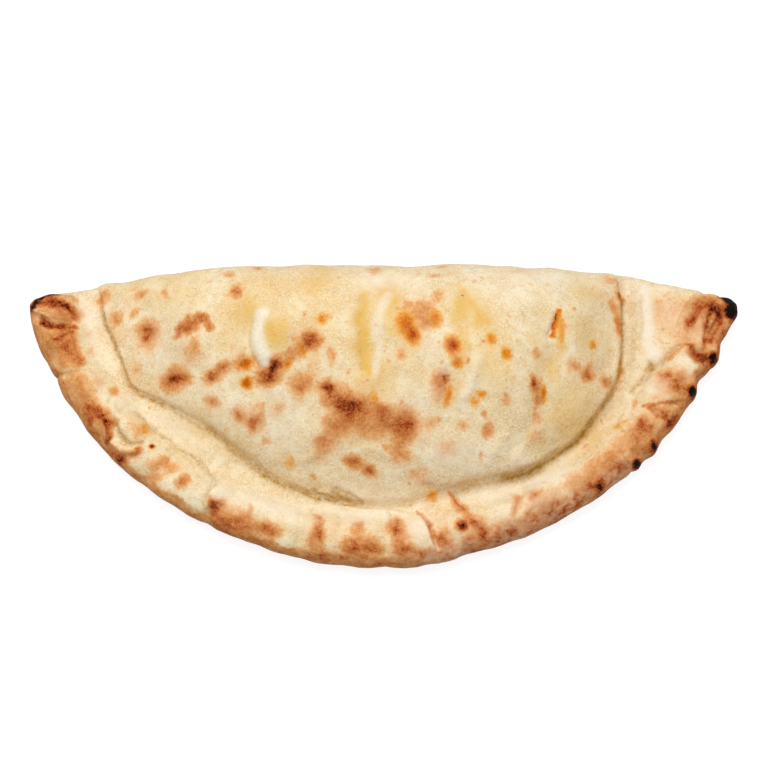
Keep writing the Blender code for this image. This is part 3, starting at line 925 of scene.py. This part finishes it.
# %% Roll out the back
SHOULDER = 0.7                      # the share of the crust's height at which the back turns down
FOLD_STARTS, FOLD_ENDS = 48, 56     # between these depths the skin belongs to the back


def roll_out_back(points):
    """Return places seen from above, moved backwards as far as the skin has dropped there."""
    columns = np.round(points[:, 0]).astype(int)
    columns -= columns.min()
    tops = np.zeros(columns.max() + 1)
    np.maximum.at(tops, columns, points[:, 2])
    dropped = np.maximum(0, SHOULDER * tops[columns] - points[:, 2])
    rolled = points[:, :2].copy()
    rolled[:, 1] += dropped * ease(points[:, 1], FOLD_STARTS, FOLD_ENDS)
    return rolled


# %% Paint the marks on the skin
points = read_points()
normals = read_normals()
plan = points[:, :2]
upward = ease(points[:, 2], 1.0, 4.0)
rolled = roll_out_back(points)
coarse = drift(points, 5.0, 23)
fine = drift(points, 1.9, 25)
ragged = rolled + 1.5 * coarse + 0.9 * fine
JOIN = 3.0               # higher keeps neighbouring marks more apart


def strongest(where, spots=(), strokes=(), peak=0.0, power=1.0):
    """Return how strongly marks cover each point.

    Peak makes spots darker in their middle, and power above 1 gives marks a flat top and a crisper
    edge.
    """
    found = np.zeros(len(where))
    for x, y, across, deep, turn, amount in spots:
        wide = 1 + 0.4 * peak
        mark = dome(where, x, y, wide * across, wide * deep, amount * (1 - peak), turn, power)
        if peak:
            mark += dome(where, x, y, 0.5 * across, 0.5 * deep, amount * peak, turn)
        found += mark ** JOIN
    for corners, width, amount in strokes:
        near, left, from_end = trace(where, corners, 3 * width)
        beyond = np.maximum(0, -from_end)
        mark = amount * np.exp(-(np.hypot(left, beyond) / width) ** (2 * power))
        found[near] += mark ** JOIN
    return found ** (1 / JOIN)


def keep_on_skin(name, values):
    """Store one number a point, under a name that the material reads."""
    layer = crust.data.attributes.new(name, "FLOAT", "POINT")
    layer.data.foreach_set("value", values.astype(np.float32))
    print(name, "reaches", round(float(values.max()), 2))


steady = rolled + 0.8 * coarse + 0.7 * fine
toast_and_shade = strongest(ragged, TOASTED_SPOTS, TOASTED_STROKES, peak=0.25, power=1.35)
patches = strongest(ragged, TOASTED_PATCHES, power=1.5)
# dark lines in the folds: scorch, and painted shade
scorch_and_shade_lines = strongest(steady, (), SCORCH_AND_SHADE_LINES)
dots = strongest(rolled + 0.3 * coarse, CHARRED_DOTS)
# the fold lines, partly painted shade, join the browning here
toast_and_shade = sum(marks ** JOIN for marks in (toast_and_shade, patches, scorch_and_shade_lines, dots)) ** (1 / JOIN)
grease = strongest(steady, GREASE_SPOTS, GREASE_STROKES, peak=0.2, power=1.3)
oil_and_shade = strongest(ragged + 1.0 * coarse, OIL_AND_SHADE_SPOTS, OILY_STROKES)
flour_and_highlight = strongest(rolled + 0.8 * coarse, FLOUR_AND_HIGHLIGHT_SPOTS)
# painted highlights, kept together with the flour
painted_highlights = strongest(rolled + 0.6 * coarse, (), PAINTED_HIGHLIGHT_STROKES, power=1.6)
flour_and_highlight = np.maximum(flour_and_highlight, painted_highlights)
# the painted shade of the creases
folds = strongest(steady, (), CREASE_SHADE_STROKES)

# %% [markdown]
# The rim's outer flank stood nearest the hot stone, so it is browned all along and broken up into
# specks. It is found by its place, the skin within a few millimetres of the outline.

# %% Brown the outer flank
near, from_rim, _ = trace(plan, rim_outline(plan)[::3], 30)
inward = np.full(len(plan), 30.0)
inward[near] = np.abs(from_rim)
places, reaches, heats = np.array(RIM_BAND).T
reach = np.interp(plan[:, 0], places, reaches)
specks = 0.07 * unevenness(points, 3.5, 7) + 0.12 * unevenness(points, 1.6, 8)
edge = inward + 2.2 * unevenness(points, 7, 9) + 1.2 * unevenness(points, 2.5, 10)
flank = ease(-edge, -1.35 * reach, -0.5 * reach)
band = flank * np.maximum(0, np.interp(plan[:, 0], places, heats) + specks)
toast_and_shade = (toast_and_shade ** JOIN + band ** JOIN) ** (1 / JOIN)
toast_and_shade *= 1 + 0.28 * unevenness(points, 4.0, 12) + 0.16 * unevenness(points, 1.6, 13)
greasy = ease(grease - 0.8 * toast_and_shade, -0.12, 0.10)
# browning and grease, with the painted shade of the fold lines
keep_on_skin("browning_and_shade", (toast_and_shade + greasy * (grease - toast_and_shade)) * upward)
keep_on_skin("grease", greasy * upward)
# oil, and painted shade in a few spots
keep_on_skin("oil_and_shade", oil_and_shade * upward)
# flour and painted highlights
keep_on_skin("flour_and_highlight", flour_and_highlight * upward)
# painted shade in the creases
keep_on_skin("fold", folds * upward)
keep_on_skin("base", 1 - ease(points[:, 2], 0.3, 2.5))

# %% [markdown]
# ## Baked dough
#
# The skin of a pale pizza crust is a dry foam of starch: cream, mottled, matt, and a little
# translucent. Heat turns it tan, then brown, then black, always through the same colours, so one
# ramp turns the stored heat into colour, and the painted shade of the fold lines with it. Grease
# follows another ramp, clear orange. Fine noise breaks up both, because real browning comes in
# specks.

# %% Material: baked dough
PATCH, STONE, MOTTLE, SPECK, GRAIN = 11.0, 9.0, 3.2, 1.3, 0.7     # pattern sizes in millimetres

dough, tree, shader = new_material("baked_dough")
place = add_node(tree, "ShaderNodeTexCoord", out="Object")
noises = {}
for name, size, detail, rough in (("patch", PATCH, 3.0, 0.5), ("mottle", MOTTLE, 2.0, 0.5),
                                  ("speck", SPECK, 3.0, 0.6), ("grain", GRAIN, 2.0, 0.5)):
    noises[name] = add_node(tree, "ShaderNodeTexNoise", {"Vector": place, "Scale": 1 / (size * MM),
                                                         "Detail": detail, "Roughness": rough})
painted = {name: add_node(tree, "ShaderNodeAttribute", out="Fac", attribute_name=name)
           for name in ("browning_and_shade", "grease", "oil_and_shade", "flour_and_highlight", "fold", "base")}

# How much each layer covers. Each row: what is read, from and to which value, least and most share.
shares = {}
for name, value, low, high, least, most in (
        ("pale", noises["patch"], 0.38, 0.62, 0.0, 1.0),
        ("tan", noises["mottle"], 0.45, 0.66, 0.0, 0.55),
        ("dust", noises["grain"], 0.48, 0.64, 0.0, 0.75),
        ("grainy", noises["grain"], 0.34, 0.66, 1.08, 0.86),
        ("uneven", noises["speck"], 0.34, 0.66, 0.86, 1.14),
        ("clean", painted["browning_and_shade"], 0.28, 0.66, 1.0, 0.0),
        ("flecked", noises["speck"], 0.35, 0.60, 0.55, 1.0),
        ("dry", noises["speck"], 0.30, 0.70, 0.58, 0.74)):
    shares[name] = add_node(tree, "ShaderNodeMapRange",
                            {0: value, 1: low, 2: high, 3: least, 4: most})
heat_and_shade = add_node(tree, "ShaderNodeMath", {0: painted["browning_and_shade"], 1: shares["uneven"]},
                operation="MULTIPLY")
heat_and_shade = add_node(tree, "ShaderNodeMath", {0: heat_and_shade, 1: shares["grainy"]}, operation="MULTIPLY")
toasted_and_shaded = add_node(tree, "ShaderNodeMapRange", {0: heat_and_shade, 1: 0.03, 2: 0.22})
speckled = add_node(tree, "ShaderNodeMath", {0: painted["browning_and_shade"], 1: 0.20, 2: noises["speck"]},
                    operation="MULTIPLY_ADD")
speckled = add_node(tree, "ShaderNodeMapRange", {0: speckled, 1: 0.59, 2: 0.68, 4: 0.40})
freckled = add_node(tree, "ShaderNodeMath", {0: speckled, 1: shares["clean"]},
                    operation="MULTIPLY")
# Flour and the painted highlights take the same white.
flour_and_highlight_share = add_node(tree, "ShaderNodeMath", {0: painted["flour_and_highlight"], 1: shares["flecked"]},
                  operation="MULTIPLY")
flour_and_highlight_share = add_node(tree, "ShaderNodeMath", {0: flour_and_highlight_share, 1: shares["clean"]}, operation="MULTIPLY")
# Painted shade along the creases, broken up by the same specks.
folded = add_node(tree, "ShaderNodeMath", {0: painted["fold"], 1: shares["flecked"]},
                  operation="MULTIPLY")

# This ramp also turns the painted shade of the fold lines dark.
browned_and_shaded = add_node(tree, "ShaderNodeValToRGB", {0: heat_and_shade}, stops=(
    (0.0, "#F0D3A4"), (0.16, "#EEC692"), (0.30, "#E6AB6F"), (0.44, "#D69052"),
    (0.58, "#C27038"), (0.72, "#A54C20"), (0.86, "#762E12"), (0.96, "#2C1006"),
    (1.0, "#140B06")))
stained = add_node(tree, "ShaderNodeValToRGB", {0: heat_and_shade}, stops=(
    (0.0, "#F0CC8C"), (0.18, "#EDB868"), (0.36, "#E28F24"), (0.50, "#CE6A08"),
    (0.64, "#B04A02"), (0.86, "#7A2C04")))
oven_and_shade = add_node(tree, "ShaderNodeMix", {0: painted["grease"], 6: browned_and_shaded, 7: stained},
                out=2, data_type="RGBA")
wide = add_node(tree, "ShaderNodeTexNoise", {"Vector": place, "Scale": 1 / (STONE * MM),
                                             "Detail": 4.0, "Roughness": 0.6})
stone = add_node(tree, "ShaderNodeValToRGB", {0: wide}, stops=(
    (0.30, "#E2BE86"), (0.45, "#D09C60"), (0.56, "#AC6E3A"), (0.68, "#6F3C1C")))

colour = linear("#E9CC98")
for share, above in ((shares["pale"], linear("#F3E2BD")), (shares["tan"], linear("#DEBA86")),
                     (shares["dust"], linear("#F7EDD1")),
                     # oil yellow, and painted shade low on the pouch
                     (painted["oil_and_shade"], linear("#E6B85A")), (toasted_and_shaded, oven_and_shade),
                     # flour, and painted highlights
                     (freckled, linear("#C68E5E")), (flour_and_highlight_share, linear("#F5EBD6")),
                     # painted shade: a greenish brown laid into the creases
                     (folded, linear("#B0801C")), (painted["base"], stone)):
    colour = add_node(tree, "ShaderNodeMix", {0: share, 6: colour, 7: above},
                      out=2, data_type="RGBA")
tree.links.new(colour, shader.inputs["Base Color"])

slick = add_node(tree, "ShaderNodeMath", {0: painted["oil_and_shade"], 1: -0.22, 2: shares["dry"]},
                 operation="MULTIPLY_ADD")
slick = add_node(tree, "ShaderNodeMath", {0: painted["grease"], 1: -0.35, 2: slick},
                 operation="MULTIPLY_ADD")
tree.links.new(slick, shader.inputs["Roughness"])
shader.inputs["Specular IOR Level"].default_value = 0.06
peel = add_node(tree, "ShaderNodeBump", {"Height": noises["speck"], "Strength": 0.45,
                                         "Distance": 0.6 * MM})
flecks = add_node(tree, "ShaderNodeBump", {"Height": noises["grain"], "Strength": 0.30,
                                           "Distance": 0.3 * MM, "Normal": peel})
tree.links.new(flecks, shader.inputs["Normal"])
crust.data.materials.append(dough)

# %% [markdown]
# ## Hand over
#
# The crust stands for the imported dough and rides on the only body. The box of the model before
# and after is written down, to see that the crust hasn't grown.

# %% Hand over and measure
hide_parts("dough")
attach(crust, "root")

low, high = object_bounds()
print("visual box in mm:", [round((b - a) / MM, 1) for a, b in zip(low, high)])
